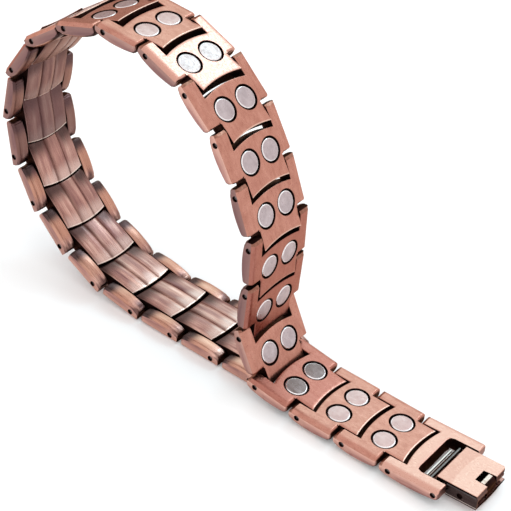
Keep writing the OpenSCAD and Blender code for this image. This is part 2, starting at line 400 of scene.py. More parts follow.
def plate_band(rows, edge_row, end_row, front, length):
    """Centre plate with its tongue: flat on the skin side, three crowned facets on the outer side"""
    half = (length - PLATE_GAP) / 2
    radius = bow_radius(half, PLATE_BOW)
    middle = PLATE_EDGE + half
    facet_y = TONGUE_Y + FACET_W
    groove = [facet_y - FACET_GROOVE, facet_y, facet_y + FACET_GROOVE]
    ys = [TONGUE_Y + s * RIM for s in RIM_STOPS]
    ys += spread(ys[-1], groove[0], 4) + groove + spread(groove[-1], MID_Y, 3) + [MID_Y]
    ys += [BAND_W - y for y in reversed(ys[:-1])]
    top = np.zeros((len(rows), len(ys), 3))
    bottom = np.zeros((len(rows), len(ys), 3))
    for i, row in enumerate(rows):
        for j, y in enumerate(ys):
            x = float(row(np.float64(y)))
            near = min(y, BAND_W - y) - TONGUE_Y
            edge_d = x - arc_edge(y)
            tip_d = (slot_edge(y) if front > length - EAR_GAP else tongue_tip(y, length)) - x
            rim_d = min(edge_d, tip_d)
            side_d = near if x >= front else math.hypot(near, front - x)
            top[i, j] = (x, y, SKIN_H - float(rim_drop(min(rim_d, side_d))))
            across = abs(y - MID_Y)
            facet_centre = 0 if across < FACET_W / 2 else FACET_W
            depth = CROWN_H - radius + math.sqrt(max(0, radius**2 - (x - middle) ** 2))
            depth -= FACET_DROP / FACET_W * max(0, across - FACET_W / 2)
            depth -= FACET_CROWN * ((across - facet_centre) / (FACET_W / 2)) ** 2
            if abs(across - FACET_W / 2) < 0.01:
                depth -= FACET_CREASE
            bottom[i, j] = (x, y, -(depth - float(rim_drop(min(rim_d, near)))))
    return Band(edge_row, end_row, top, bottom, SKIN, OUTER)


def mirrored(band):
    """The same band on the far side of the link"""
    top, bottom = (points[:, ::-1].copy() for points in (band.top, band.bottom))
    top[:, :, 1] = BAND_W - top[:, :, 1]
    bottom[:, :, 1] = BAND_W - bottom[:, :, 1]
    far = Band(band.first, band.last, top, bottom, band.top_slot, band.bottom_slot, band.end_slot)
    far.facet_end = band.facet_end
    return far


def link_blank(name, length, front, end_link=False):
    """Link without its holes, from bands across it"""
    rows, edge_row, front_row, end_row = row_grid(length, front, end_link)
    ear = ear_band(rows, front_row, front, end_link)
    web = web_band(rows, edge_row, front_row)
    if end_link:
        web.last = end_row
    plate = plate_band(rows, edge_row, end_row, front, length)
    return cell_solid(name, [ear, web, plate, mirrored(web), mirrored(ear)])


# Turned and straight shapes
CREASE_ANGLE = 32
ROUND_SIDES = 40
MAGNET_SIDES = 64


def lathe(bm, profile, matrix, sides, slot=0):
    """Closed solid of a profile of (radius, height) points, turned about z, with one slot or one a ring"""
    slots = slot if isinstance(slot, list) else [slot] * (len(profile) - 1)
    rings = []
    for radius, height in profile:
        if radius < 1e-6:
            points = [(0, 0, height)]
        else:
            angles = [2 * math.pi * k / sides for k in range(sides)]
            points = [(radius * math.cos(a), radius * math.sin(a), height) for a in angles]
        rings.append([bm.verts.new(matrix @ Vector([c * MM for c in point])) for point in points])
    for a, b, ring_slot in zip(rings, rings[1:], slots):
        for k in range(sides):
            corners = [a[k % len(a)], a[(k + 1) % len(a)], b[(k + 1) % len(b)], b[k % len(b)]]
            face = bm.faces.new(list(dict.fromkeys(corners)))
            face.material_index = ring_slot
            face.smooth = True


def across_band(x, z=0):
    """Place of a lathe whose axis runs across the band"""
    return Matrix.Translation((x * MM, 0, z * MM)) @ Matrix.Rotation(-math.pi / 2, 4, "X")


def rod_along_y(bm, x, r, y0, y1, slot):
    """Round rod across the band, with bevelled ends"""
    rim = 0.06
    profile = [(0, y0), (r - rim, y0), (r, y0 + rim), (r, y1 - rim), (r - rim, y1), (0, y1)]
    lathe(bm, profile, across_band(x), ROUND_SIDES, slot)


def prism(bm, outline, low, high, to_point, slots, bevel=0.0):
    """Closed prism of an outline between two levels; slots are those of its top, sides and bottom.
    to_point places (a, b, level), and the bevel rounds the edges of its top"""
    rings = []
    for level in (low, high):
        rings.append([bm.verts.new([c * MM for c in to_point(a, b, level)]) for a, b in outline])
    top = bm.faces.new(rings[1])
    bottom = bm.faces.new(rings[0][::-1])
    top.material_index, bottom.material_index = slots[0], slots[2]
    count = len(outline)
    for i in range(count):
        after = (i + 1) % count
        side = bm.faces.new([rings[0][i], rings[0][after], rings[1][after], rings[1][i]])
        side.material_index = slots[1]
    if bevel:
        bmesh.ops.bevel(bm, geom=list(top.edges), offset=bevel * MM, segments=3, profile=0.5,
                        affect="EDGES", material=slots[0])


def upright(x, y, z):
    """Outline in plan, levels along z"""
    return x, y, z


def crosswise(x, z, y):
    """Outline seen from the side, levels across the band"""
    return x, y, z


def lengthwise(y, z, x):
    """Outline seen from the end, levels along the band"""
    return x, y, z


def closed_mesh(name, bm):
    """Mesh of bm with its faces turned outwards; bm is freed"""
    bmesh.ops.recalc_face_normals(bm, faces=bm.faces)
    mesh = bpy.data.meshes.new(name)
    bm.to_mesh(mesh)
    bm.free()
    return mesh


def bore_cutter(bm, x):
    """Hole across the band with slightly flared mouths"""
    r = BORE_D / 2
    past = 1.0
    profile = [(0, -past), (r + FLARE + past, -past), (r, FLARE)]
    profile += [(radius, BAND_W - y) for radius, y in reversed(profile)]
    lathe(bm, profile, across_band(x), ROUND_SIDES)


def pocket_cutter(bm, y):
    """Round pocket for a magnet, with a slightly flared mouth"""
    r = POCKET_D / 2
    floor = SKIN_H - POCKET_H
    past = SKIN_H + 1
    profile = [(0, floor), (r, floor), (r, SKIN_H - FLARE), (r + FLARE, SKIN_H), (r + FLARE, past), (0, past)]
    lathe(bm, profile, Matrix.Translation((MAGNET_X * MM, y * MM, 0)), MAGNET_SIDES)


def cut_mesh(name, blank, cutters, materials):
    """Blank less its cutters, whose walls take the dark finish; keeps creases sharp and faces flat"""
    bm = bmesh.new()
    for make in cutters:
        make(bm)
    cutter_mesh = closed_mesh(name + "_cutter", bm)
    cutter_mesh.materials.append(materials[DARK])
    for material in materials:
        blank.materials.append(material)
    cutter = bpy.data.objects.new(name + "_cutter", cutter_mesh)
    body = bpy.data.objects.new(name + "_blank", blank)
    for obj in (cutter, body):
        scene.collection.objects.link(obj)
    cut = body.modifiers.new("cut", "BOOLEAN")
    cut.operation = "DIFFERENCE"
    cut.solver = "EXACT"
    cut.object = cutter
    cut.material_mode = "TRANSFER"
    bpy.context.view_layer.update()
    shaped = body.evaluated_get(bpy.context.evaluated_depsgraph_get())
    mesh = bpy.data.meshes.new_from_object(shaped)
    mesh.name = name
    for obj in (cutter, body):
        bpy.data.objects.remove(obj)
    finish_mesh(mesh)
    return mesh


def finish_mesh(mesh):
    """Smooth shading with sharp creases"""
    bm = bmesh.new()
    bm.from_mesh(mesh)
    for face in bm.faces:
        face.smooth = True
    for edge in bm.edges:
        edge.smooth = len(edge.link_faces) == 2 and edge.calc_face_angle(0) < math.radians(CREASE_ANGLE)
    bm.to_mesh(mesh)
    bm.free()


# Materials
RELIEF = 0.00003
GRAIN_SHIFT = (31.0, 77.0, 53.0)
BRUSH = (120, 2400, 2400)


def new_material(name):
    material = bpy.data.materials.new(name)
    material.use_nodes = True
    tree = material.node_tree
    return material, tree, tree.nodes["Principled BSDF"]


def add_node(tree, kind, **values):
    node = tree.nodes.new(kind)
    for key, value in values.items():
        if key in node.inputs:
            node.inputs[key].default_value = value
        else:
            setattr(node, key, value)
    return node


def object_axes(tree):
    """Place in the piece's own frame, x, y and z in metres"""
    coords = add_node(tree, "ShaderNodeTexCoord")
    axes = add_node(tree, "ShaderNodeSeparateXYZ")
    tree.links.new(coords.outputs["Object"], axes.inputs[0])
    return axes.outputs


def grain(tree, scale, detail=4.0, roughness=0.6):
    """Noise at a scale per metre along each axis, different on each piece"""
    coords = add_node(tree, "ShaderNodeTexCoord")
    info = add_node(tree, "ShaderNodeObjectInfo")
    shift = add_node(tree, "ShaderNodeVectorMath", operation="SCALE")
    shift.inputs[0].default_value = GRAIN_SHIFT
    tree.links.new(info.outputs["Random"], shift.inputs["Scale"])
    mapping = add_node(tree, "ShaderNodeMapping", Scale=scale)
    tree.links.new(coords.outputs["Object"], mapping.inputs["Vector"])
    tree.links.new(shift.outputs[0], mapping.inputs["Location"])
    noise = add_node(tree, "ShaderNodeTexNoise", Scale=1.0, Detail=detail, Roughness=roughness)
    tree.links.new(mapping.outputs[0], noise.inputs["Vector"])
    return noise.outputs["Fac"]


def ramp(tree, value, stops):
    """Colour along stops of (position, colour)"""
    node = add_node(tree, "ShaderNodeValToRGB")
    elements = node.color_ramp.elements
    while len(elements) < len(stops):
        elements.new(0.5)
    for element, (position, color) in zip(elements, stops):
        element.position = position
        element.color = (*color, 1)
    tree.links.new(value, node.inputs["Fac"])
    return node.outputs["Color"]


def map_value(tree, value, low, high, from_low=0.3, from_high=0.7, smooth=False):
    node = add_node(tree, "ShaderNodeMapRange")
    if smooth:
        node.interpolation_type = "SMOOTHSTEP"
    for name, number in (("From Min", from_low), ("From Max", from_high), ("To Min", low), ("To Max", high)):
        node.inputs[name].default_value = number
    tree.links.new(value, node.inputs["Value"])
    return node.outputs["Result"]


def fade(tree, value, start, end):
    """Soft step from 0 at start to 1 at end"""
    if start < end:
        return map_value(tree, value, 0.0, 1.0, start, end, smooth=True)
    return map_value(tree, value, 1.0, 0.0, end, start, smooth=True)


def combine(tree, operation, first, second):
    node = add_node(tree, "ShaderNodeMath", operation=operation)
    for socket, value in zip(node.inputs, (first, second)):
        if isinstance(value, (int, float)):
            socket.default_value = value
        else:
            tree.links.new(value, socket)
    return node.outputs[0]


def mix(tree, factor, first, second):
    """Colour that goes from first to second"""
    node = add_node(tree, "ShaderNodeMix", data_type="RGBA")
    tree.links.new(factor, node.inputs["Factor"])
    for socket, value in ((node.inputs[6], first), (node.inputs[7], second)):
        if isinstance(value, tuple):
            socket.default_value = (*value, 1)
        else:
            tree.links.new(value, socket)
    return node.outputs[2]


def piece_value(tree, name):
    """Number kept on the piece itself under a name"""
    return add_node(tree, "ShaderNodeAttribute", attribute_type="OBJECT", attribute_name=name).outputs["Fac"]


def product(tree, first, *others):
    for other in others:
        first = combine(tree, "MULTIPLY", first, other)
    return first


def stripe(tree, value, rise, fall):
    """Mask that goes from 0 to 1 along rise and back to 0 along fall"""
    return product(tree, fade(tree, value, *rise), fade(tree, value, fall[1], fall[0]))


def arc_distance(tree, x, y, start):
    """Distance in metres past the arc that begins at start on the link's middle line"""
    across = combine(tree, "DIVIDE", combine(tree, "SUBTRACT", y, MID_Y * MM), (MID_Y - TONGUE_Y) * MM)
    rise = product(tree, across, across, ARC_BULGE * MM)
    return combine(tree, "SUBTRACT", combine(tree, "SUBTRACT", x, start * MM), rise)


def metal(name, roughness, bump, coat, scale=BRUSH):
    """Brushed metal shader: streaks along x in its roughness and relief; its colour comes after"""
    material, tree, shader = new_material(name)
    shader.inputs["Metallic"].default_value = 1.0
    shader.inputs["Coat Weight"].default_value = coat
    shader.inputs["Coat Roughness"].default_value = 0.3
    shader.inputs["Specular Tint"].default_value = (0.85, 0.6, 0.5, 1)
    fine = grain(tree, tuple(3 * s for s in scale), detail=2.0)
    tree.links.new(map_value(tree, fine, roughness - 0.07, roughness + 0.1), shader.inputs["Roughness"])
    height = add_node(tree, "ShaderNodeBump", Strength=bump, Distance=RELIEF)
    tree.links.new(fine, height.inputs["Height"])
    tree.links.new(height.outputs[0], shader.inputs["Normal"])
    return material, tree, shader


def brushed_metal(name, dark, mid, light, roughness, bump=0.15, coat=0.0, scale=BRUSH):
    """Metal whose colour varies along its brush streaks"""
    material, tree, shader = metal(name, roughness, bump, coat, scale)
    color = ramp(tree, grain(tree, scale), [(0.25, dark), (0.5, mid), (0.78, light)])
    tree.links.new(color, shader.inputs["Base Color"])
    return material


def skin_copper():
    """Satin copper of the skin side: fine crossed grain, stains, a painted highlight line along the tongue's
    tip, and per piece a paler tone (a painted glint on link 10) or painted shade
    """
    material, tree, shader = metal("copper_skin", 0.31, 0.12, 0.15, (700, 1500, 1500))
    color = ramp(tree, grain(tree, (500, 1100, 1100), 6.0, 0.7),
                 [(0.3, (0.38, 0.155, 0.112)), (0.5, (0.455, 0.20, 0.148)), (0.72, (0.53, 0.25, 0.19))])
    stain = fade(tree, grain(tree, (150, 150, 150), 3.0), 0.5, 0.75)
    color = mix(tree, product(tree, stain, 0.35), color, (0.40, 0.165, 0.13))
    axes = object_axes(tree)
    # Painted highlight: a pale line along the tongue's tip
    past_tip = arc_distance(tree, axes["X"], axes["Y"], PITCH + PLATE_EDGE - PLATE_GAP)
    tip = fade(tree, past_tip, -0.0003, -0.0001)
    color = mix(tree, product(tree, tip, 0.7), color, (0.8, 0.55, 0.45))
    # Paler pieces: the end link and clasp plate, and link 10, whose paleness is a painted glint
    color = mix(tree, piece_value(tree, "pale_and_glint"), color, (0.58, 0.31, 0.245))
    # Painted shade: some links darker as a whole
    color = mix(tree, piece_value(tree, "painted_shade"), color, (0.25, 0.06, 0.045))
    tree.links.new(color, shader.inputs["Base Color"])
    return material


def outer_copper():
    """Antique finish of the outer side, with light and shade painted into its colour. Plates: painted shade
    at the tongue's end, a painted highlight at the other with a painted highlight line along its edge,
    painted shade on the far facet, and dark streaks by the creases, partly dark oxide and partly painted
    shade. Ears: painted shade at both ends and painted light between. All places along x and across y are in
    metres"""
    material, tree, shader = metal("copper_outer", 0.3, 0.15, 0.25)
    axes = object_axes(tree)
    x, y = axes["X"], axes["Y"]
    brush = grain(tree, (60, 800, 800))
    color = ramp(tree, brush,
                 [(0.3, (0.17, 0.07, 0.068)), (0.5, (0.39, 0.195, 0.16)), (0.68, (0.68, 0.41, 0.335))])
    wave = product(tree, combine(tree, "SUBTRACT", brush, 0.5), 0.004)
    along = combine(tree, "ADD", x, wave)
    in_plate = stripe(tree, y, (0.0026, 0.0028), (0.0124, 0.0126))
    on_ear = combine(tree, "SUBTRACT", 1.0, in_plate)
    middle = stripe(tree, y, (0.0060, 0.0072), (0.0091, 0.0102))
    beside = combine(tree, "SUBTRACT", 1.0, product(tree, middle, 0.68))
    # Painted shade: the plates darker towards the tongue's end, the ears at their back ends
    tongue_end = product(tree, fade(tree, along, 0.0062, 0.0094), in_plate, beside)
    ear_start = product(tree, fade(tree, along, 0.0004, -0.0014), on_ear, 0.75)
    dark_end = combine(tree, "MAXIMUM", tongue_end, ear_start)
    # Painted shade on the far facet
    far_facet = product(tree, fade(tree, y, 0.0088, 0.0098), in_plate)
    color = mix(tree, product(tree, far_facet, 0.22), color, (0.10, 0.05, 0.055))
    color = mix(tree, product(tree, dark_end, 0.93), color, (0.05, 0.024, 0.022))
    # Painted shade at the ears' front ends
    ear_end = product(tree, fade(tree, along, 0.0032, 0.0058), on_ear)
    color = mix(tree, product(tree, ear_end, 0.96), color, (0.035, 0.019, 0.02))
    # Painted highlight: the plates lighter towards their other end
    light_end = product(tree, fade(tree, along, 0.0046, 0.0022), in_plate)
    color = mix(tree, product(tree, light_end, 0.6), color, (0.66, 0.47, 0.41))
    # Painted light: the ears lighter and warmer between their ends
    ear_middle = product(tree, stripe(tree, x, (-0.0005, 0.0015), (0.0035, 0.0055)), on_ear)
    color = mix(tree, product(tree, ear_middle, 0.55), color, (0.50, 0.235, 0.145))
    # Dark streaks by the creases: partly dark oxide, partly painted shade beside them
    streak_noise = map_value(tree, grain(tree, (160, 900, 900), 3.0), 0.45, 0.9)
    near_crease = stripe(tree, y, (0.0057, 0.0061), (0.0062, 0.0073))
    far_crease = stripe(tree, y, (0.0089, 0.0092), (0.0093, 0.0097))
    creases = combine(tree, "MAXIMUM", near_crease, product(tree, far_crease, 0.7))
    color = mix(tree, product(tree, creases, streak_noise, 0.8), color, (0.10, 0.035, 0.028))
    # Painted shade: some links darker as a whole
    color = mix(tree, piece_value(tree, "painted_shade"), color, (0.10, 0.045, 0.045))
    # Painted highlight: a pale line along the plate's arc edge
    edge_highlight = fade(tree, arc_distance(tree, x, y, PLATE_EDGE), 0.00032, 0.00012)
    color = mix(tree, product(tree, edge_highlight, in_plate, 0.8), color, (0.86, 0.72, 0.64))
    tree.links.new(color, shader.inputs["Base Color"])
    return material


def side_copper():
    """Sides of the ears: painted light along the skin side and round the pin's hole, dark at the end link's
    tips, painted shade on some links
    """
    material, tree, shader = metal("copper_side", 0.36, 0.2, 0.3, (160, 2000, 2000))
    axes = object_axes(tree)
    color = ramp(tree, grain(tree, (150, 1800, 1800)),
                 [(0.3, (0.26, 0.12, 0.11)), (0.5, (0.42, 0.205, 0.18)), (0.7, (0.56, 0.30, 0.25))])
    # Painted light: lighter towards the skin side
    by_skin = fade(tree, axes["Z"], -0.0006, 0.0006)
    color = mix(tree, product(tree, by_skin, 0.8), color, (0.74, 0.43, 0.34))
    color = mix(tree, fade(tree, axes["X"], 0.0092, 0.0094), color, (0.26, 0.13, 0.115))
    # Painted light: lighter round the pin's hole
    by_hole = fade(tree, axes["X"], 0.0026, 0.0006)
    color = mix(tree, product(tree, by_hole, 0.5), color, (0.62, 0.34, 0.27))
    # Painted shade: some links' sides darker
    side_shade = piece_value(tree, "painted_side_shade")
    color = mix(tree, product(tree, side_shade, 0.75), color, (0.13, 0.065, 0.07))
    tree.links.new(color, shader.inputs["Base Color"])
    return material


def dark_finish():
    """Near-black finish in gaps, pockets and holes: partly dark oxide in the hollows, partly painted shade"""
    material, tree, shader = metal("dark_patina", 0.55, 0.3, 0.0, (800, 800, 800))
    color = ramp(tree, grain(tree, (600, 600, 600)),
                 [(0.3, (0.006, 0.003, 0.003)), (0.7, (0.035, 0.014, 0.012))])
    tree.links.new(color, shader.inputs["Base Color"])
    return material


copper_skin = skin_copper()
copper_side = side_copper()
copper_outer = outer_copper()
# Near-black finish: partly dark oxide, partly painted shade
patina_and_shade = dark_finish()
magnet_steel = brushed_metal("magnet_steel", (0.35, 0.285, 0.295), (0.43, 0.355, 0.365), (0.51, 0.43, 0.44),
                             0.32, coat=0.3, scale=(500, 800, 800))
warm_steel = brushed_metal("warm_steel", (0.4, 0.25, 0.235), (0.46, 0.295, 0.275), (0.52, 0.345, 0.32),
                           0.32, coat=0.3, scale=(500, 800, 800))
grey_steel = brushed_metal("grey_steel", (0.28, 0.215, 0.2), (0.34, 0.265, 0.25), (0.42, 0.34, 0.33), 0.3)
# Darker steel of some magnet faces: painted shade
dull_steel = brushed_metal("dull_steel", (0.12, 0.085, 0.078), (0.165, 0.122, 0.115), (0.23, 0.175, 0.168),
                           0.3, scale=(500, 800, 800))
# Lighter steel of the magnets' rims: a painted highlight
bright_rim = brushed_metal("magnet_rim", (0.66, 0.6, 0.6), (0.76, 0.7, 0.7), (0.85, 0.8, 0.8), 0.25)
dark_bronze = brushed_metal("dark_bronze", (0.02, 0.012, 0.012), (0.04, 0.025, 0.024), (0.075, 0.05, 0.048),
                            0.25, coat=0.12, scale=(150, 900, 900))
antique_copper = brushed_metal("antique_copper", (0.2, 0.09, 0.082), (0.36, 0.18, 0.15), (0.54, 0.32, 0.26),
                               0.3, coat=0.2, scale=(60, 700, 700))
mauve_bronze = brushed_metal("mauve_bronze", (0.05, 0.025, 0.024), (0.085, 0.047, 0.045), (0.14, 0.09, 0.085),
                             0.25, scale=(900, 150, 900))
lip_steel = brushed_metal("lip_steel", (0.38, 0.31, 0.285), (0.48, 0.40, 0.37), (0.58, 0.5, 0.465),
                          0.3, bump=0.0, scale=(600, 60, 600))
# Pale copper of the knuckle's cap: a painted highlight
cream_copper = brushed_metal("worn_copper", (0.44, 0.31, 0.26), (0.56, 0.42, 0.36), (0.66, 0.52, 0.46), 0.3)
bright_steel = brushed_metal("bright_steel", (0.5, 0.48, 0.48), (0.62, 0.6, 0.6), (0.75, 0.73, 0.73), 0.2)
dark_steel = brushed_metal("dark_steel", (0.12, 0.1, 0.1), (0.18, 0.15, 0.15), (0.26, 0.22, 0.22), 0.35)
bar_steel = brushed_metal("bar_steel", (0.05, 0.04, 0.038), (0.08, 0.065, 0.06), (0.11, 0.09, 0.085),
                          0.1, bump=0.0)
# Darker brown of the ears' back facets: painted shade
brown_copper = brushed_metal("brown_copper", (0.17, 0.065, 0.045), (0.27, 0.12, 0.085), (0.38, 0.19, 0.14),
                             0.35)
COPPER = [copper_skin, copper_side, copper_outer, patina_and_shade, brown_copper]


# Places of the links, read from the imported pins
def pin_centres(name):
    """Centres (x, z) of the pins in a node, in metres"""
    groups = []
    for vertex in nodes[name].data.vertices:
        spot = (vertex.co.x, vertex.co.z)
        for group in groups:
            if math.dist(group[0], spot) < 2 * BORE_D * MM:
                group.append(spot)
                break
        else:
            groups.append([spot])
    return [tuple((min(a) + max(a)) / 2 for a in zip(*group)) for group in groups]


def pin_chain():
    """Pins in order from the clasp's pin to the catch bar"""
    loose = pin_centres("link_pins") + pin_centres("catch_bar")
    chain = pin_centres("clasp_pin")
    while loose:
        step = CLASP_PIN_X if len(chain) == 1 else FAR_PITCH if len(loose) == 1 else PITCH
        nearest = min(loose, key=lambda spot: abs(math.dist(spot, chain[-1]) - step * MM))
        loose.remove(nearest)
        chain.append(nearest)
    return chain


chain = pin_chain()


def link_place(i, node):
    """Place and turn of link i"""
    ahead, own = chain[i], chain[i + 1]
    turn = math.atan2(ahead[1] - own[1], ahead[0] - own[0])
    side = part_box(node)[0].y
    return Matrix.Translation((own[0], side, own[1])) @ Matrix.Rotation(-turn, 4, "Y")


def add_piece(name, mesh, matrix, body, replaced):
    """Piece that rides a body in place of a CAD node"""
    piece = bpy.data.objects.new(name, mesh)
    scene.collection.objects.link(piece)
    piece.matrix_world = matrix
    flat = piece.modifiers.new("flat_faces", "WEIGHTED_NORMAL")
    flat.keep_sharp = True
    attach(piece, body)
    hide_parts(replaced)
    return piece


# Finish that differs from link to link: paler (the end link; on link 10 a painted glint), darker as painted
# shade, or darker along the sides as painted shade
PALE_AND_GLINT = {0: 1.0, 10: 0.75}
PAINTED_SHADE = {3: 0.45, 5: 0.6, 6: 0.5, 14: 0.7, 15: 0.6, 16: 0.75, 19: 0.15}
PAINTED_SIDE_SHADE = {4: 0.4, 5: 1.0, 6: 1.0, 7: 1.0, 10: 0.8, 11: 0.6, 12: 1.0, 13: 0.9, 14: 1.0, 15: 1.0,
              16: 0.9, 17: 0.6, 18: 0.4}


def add_link(i, node, mesh):
    piece = add_piece(f"copper_{node}", mesh, link_place(i, node), "band", node)
    for name, links in (("pale_and_glint", PALE_AND_GLINT), ("painted_shade", PAINTED_SHADE), ("painted_side_shade", PAINTED_SIDE_SHADE)):
        piece[name] = links.get(i, 0.0)


# Links whose gap before the centre plate is closed by a dark sheet beneath it: painted shade, so the gap
# looks dark right through
SHADE_SHEET_LINKS = range(15, 22)
SHADE_SHEET_H = 0.3
SHADE_SHEET_OVERLAP = 0.05
SHADE_SHEET_PLAY = 0.03


def with_shade_sheet(mesh):
    """Copy of a link's mesh with a dark sheet that closes the gap at the height of its pin, as painted shade
    """
    bm = bmesh.new()
    margin = TONGUE_Y + 0.05
    ys = [float(y) for y in np.linspace(margin, BAND_W - margin, 17)]
    outline = [(float(arc_edge(y)) + SHADE_SHEET_OVERLAP, y) for y in ys]
    outline += [(float(arc_edge(y)) - PLATE_GAP + SHADE_SHEET_PLAY, y) for y in ys[::-1]]
    prism(bm, outline, -SHADE_SHEET_H, SHADE_SHEET_H, upright, (DARK, DARK, DARK))
    bmesh.ops.recalc_face_normals(bm, faces=bm.faces)
    bm.from_mesh(mesh)
    whole = mesh.copy()
    whole.name = mesh.name + "_with_ledge"
    bm.to_mesh(whole)
    bm.free()
    return whole


def build_links():
    """Twenty-two magnet links of one mesh, or its copy with a dark sheet of painted shade, and the two end
    links
    """
    front = PITCH - EAR_BACK - EAR_GAP
    bores = [lambda bm: bore_cutter(bm, 0), lambda bm: bore_cutter(bm, PITCH)]
    pockets = [lambda bm, s=s: pocket_cutter(bm, MID_Y + s * MAGNET_GAP / 2) for s in (-1, 1)]
    magnet_link = cut_mesh("link", link_blank("link", PITCH, front), bores + pockets, COPPER)
    shade_sheet_link = with_shade_sheet(magnet_link)
    for i in range(1, LAST_MAGNET_LINK + 1):
        node = f"link_{i:02d}"
        add_link(i, node, shade_sheet_link if i in SHADE_SHEET_LINKS else magnet_link)
    far_bores = [lambda bm: bore_cutter(bm, 0), lambda bm: bore_cutter(bm, FAR_PITCH)]
    far_front = FAR_PITCH - EAR_BACK - EAR_GAP
    far_mesh = cut_mesh("far_link", link_blank("far_link", FAR_PITCH, far_front), far_bores, COPPER)
    add_link(FAR_LINK, "far_end_link", far_mesh)
    end_front = CLASP_PIN_X + END_EAR_REACH
    end_bores = [lambda bm: bore_cutter(bm, 0), lambda bm: bore_cutter(bm, CLASP_PIN_X)]
    end_mesh = cut_mesh("end_link", link_blank("end_link", PITCH, end_front, True), end_bores, COPPER)
    add_link(0, "end_link", end_mesh)


# Links whose magnets have another tone than plain steel: warmer on some, darker on link 3 as painted shade,
# and darker grey on link 10 as painted shade over its glint
MAGNET_TONES = {1: WARM, 2: WARM, 3: SHADED_FACE, 10: GREY, 11: WARM}


def build_magnets():
    """Two rows of round magnets with rounded rims made lighter as a painted highlight, and slightly domed
    faces
    """
    r = MAGNET_D / 2
    low = SKIN_H - POCKET_H
    high = SKIN_H - MAGNET_SINK
    shoulder = high - MAGNET_RIM
    profile = [(0, low), (r, low)]
    profile += [(r - MAGNET_RIM * s, shoulder + MAGNET_RIM * math.sqrt(1 - (1 - s) ** 2)) for s in RIM_STOPS]
    rim_rings = len(profile) - 1
    face_r = r - MAGNET_RIM - 0.05
    face_stops = (1, 0.75, 0.5, 0.25, 0)
    profile += [(face_r * s, high + MAGNET_DOME * (1 - s**2)) for s in face_stops]
    for side, row in ((-1, "magnets_near_row"), (1, "magnets_far_row")):
        bm = bmesh.new()
        for i in range(1, LAST_MAGNET_LINK + 1):
            spot = Matrix.Translation((MAGNET_X * MM, (MID_Y + side * MAGNET_GAP / 2) * MM, 0))
            # The rims take the painted highlight
            slots = [BRIGHT_RIM] * rim_rings + [MAGNET_TONES.get(i, PLAIN)] * len(face_stops)
            lathe(bm, profile, link_place(i, f"link_{i:02d}") @ spot, MAGNET_SIDES, slots)
        mesh = closed_mesh(row, bm)
        for material in (magnet_steel, warm_steel, dull_steel, bright_rim, grey_steel):
            mesh.materials.append(material)
        finish_mesh(mesh)
        add_piece("steel_" + row, mesh, Matrix.Identity(4), "band", row)


# Clasp
def clasp_piece(name, bm, materials, body, node):
    mesh = closed_mesh(name, bm)
    for material in materials:
        mesh.materials.append(material)
    finish_mesh(mesh)
    return add_piece(name, mesh, link_place(0, "end_link"), body, node)


def build_clasp_plate():
    """Bare plate with its notch, on a barrel round the end link's pin and two legs round the cover's pin"""
    barrel_y1 = PLATE_Y1 - BARREL_INSET
    outline = [(PLATE_X0, PLATE_Y0), (PLATE_X1, PLATE_Y0), (PLATE_X1, NOTCH_Y0), (NOTCH_X, NOTCH_Y0),
               (NOTCH_X, NOTCH_Y1), (PLATE_X1, NOTCH_Y1), (PLATE_X1, PLATE_Y1 - PLATE_CORNER),
               (PLATE_X1 - PLATE_CORNER, PLATE_Y1), (PLATE_X0, PLATE_Y1)]
    bm = bmesh.new()
    prism(bm, outline, PLATE_TOP - PLATE_T, PLATE_TOP, upright, (FACE, EDGES, EDGES), bevel=PLATE_BEVEL)
    rod_along_y(bm, CLASP_PIN_X, BARREL_R, PLATE_Y0 + 0.2, barrel_y1, EDGES)
    for leg in ((PLATE_Y0 + 0.02, NOTCH_Y0 - 0.02), (NOTCH_Y1 + 0.02, barrel_y1)):
        rod_along_y(bm, COVER_PIN_X, LEG_R, *leg, LEGS)
    materials = [copper_skin, dark_bronze, mauve_bronze]
    piece = clasp_piece("copper_clasp_plate", bm, materials, "clasp_leaf", "clasp_plate")
    piece["pale_and_glint"] = 0.75


def nick_cutter(bm):
    """Round finger nick in the near wall"""
    outside_y = CLASP_Y - 0.35
    profile = [(0, outside_y), (NICK_R, outside_y), (NICK_FLOOR_R, NICK_FLOOR_Y), (0, NICK_FLOOR_Y)]
    lathe(bm, profile, across_band(NICK_X, NICK_Z), ROUND_SIDES)


def add_side_wall(bm, outer, x1, top, materials):
    """Side wall of the cover with a light line as a painted highlight and a dark foot as painted shade along
    its outside; the near one has a nick
    """
    out = -1 if outer < MID_Y else 1
    wall = [(WALL_X0, COVER_LOW), (x1, COVER_LOW), (x1, top - WALL_CORNER), (x1 - WALL_CORNER, top),
            (WALL_X0, top)]
    line = [(WALL_X0, WALL_FOOT - LINE_H), (x1, WALL_FOOT - LINE_H), (x1, WALL_FOOT), (WALL_X0, WALL_FOOT)]
    foot_top = WALL_FOOT - FOOT_GAP
    foot = [(WALL_X0, TRAY_SIDE), (x1, TRAY_SIDE), (x1, foot_top), (WALL_X0, foot_top)]
    wall_bm = bmesh.new()
    prism(wall_bm, wall, outer - SIDE_WALL * out, outer, crosswise, (BRONZE, BRONZE, BRONZE), bevel=0.05)
    wall_mesh = closed_mesh("wall", wall_bm)
    if out < 0:
        wall_mesh = cut_mesh("wall", wall_mesh, [nick_cutter], materials)
    bm.from_mesh(wall_mesh)
    # Painted highlight: a light strip along the wall's foot
    prism(bm, line, outer - 0.1 * out, outer + 0.05 * out, crosswise, (LIP, LIP, LIP))
    # Painted shade: a near-black strip below it
    prism(bm, foot, outer - 0.1 * out, outer + 0.01 * out, crosswise, (PATINA_AND_SHADE, PATINA_AND_SHADE, PATINA_AND_SHADE))


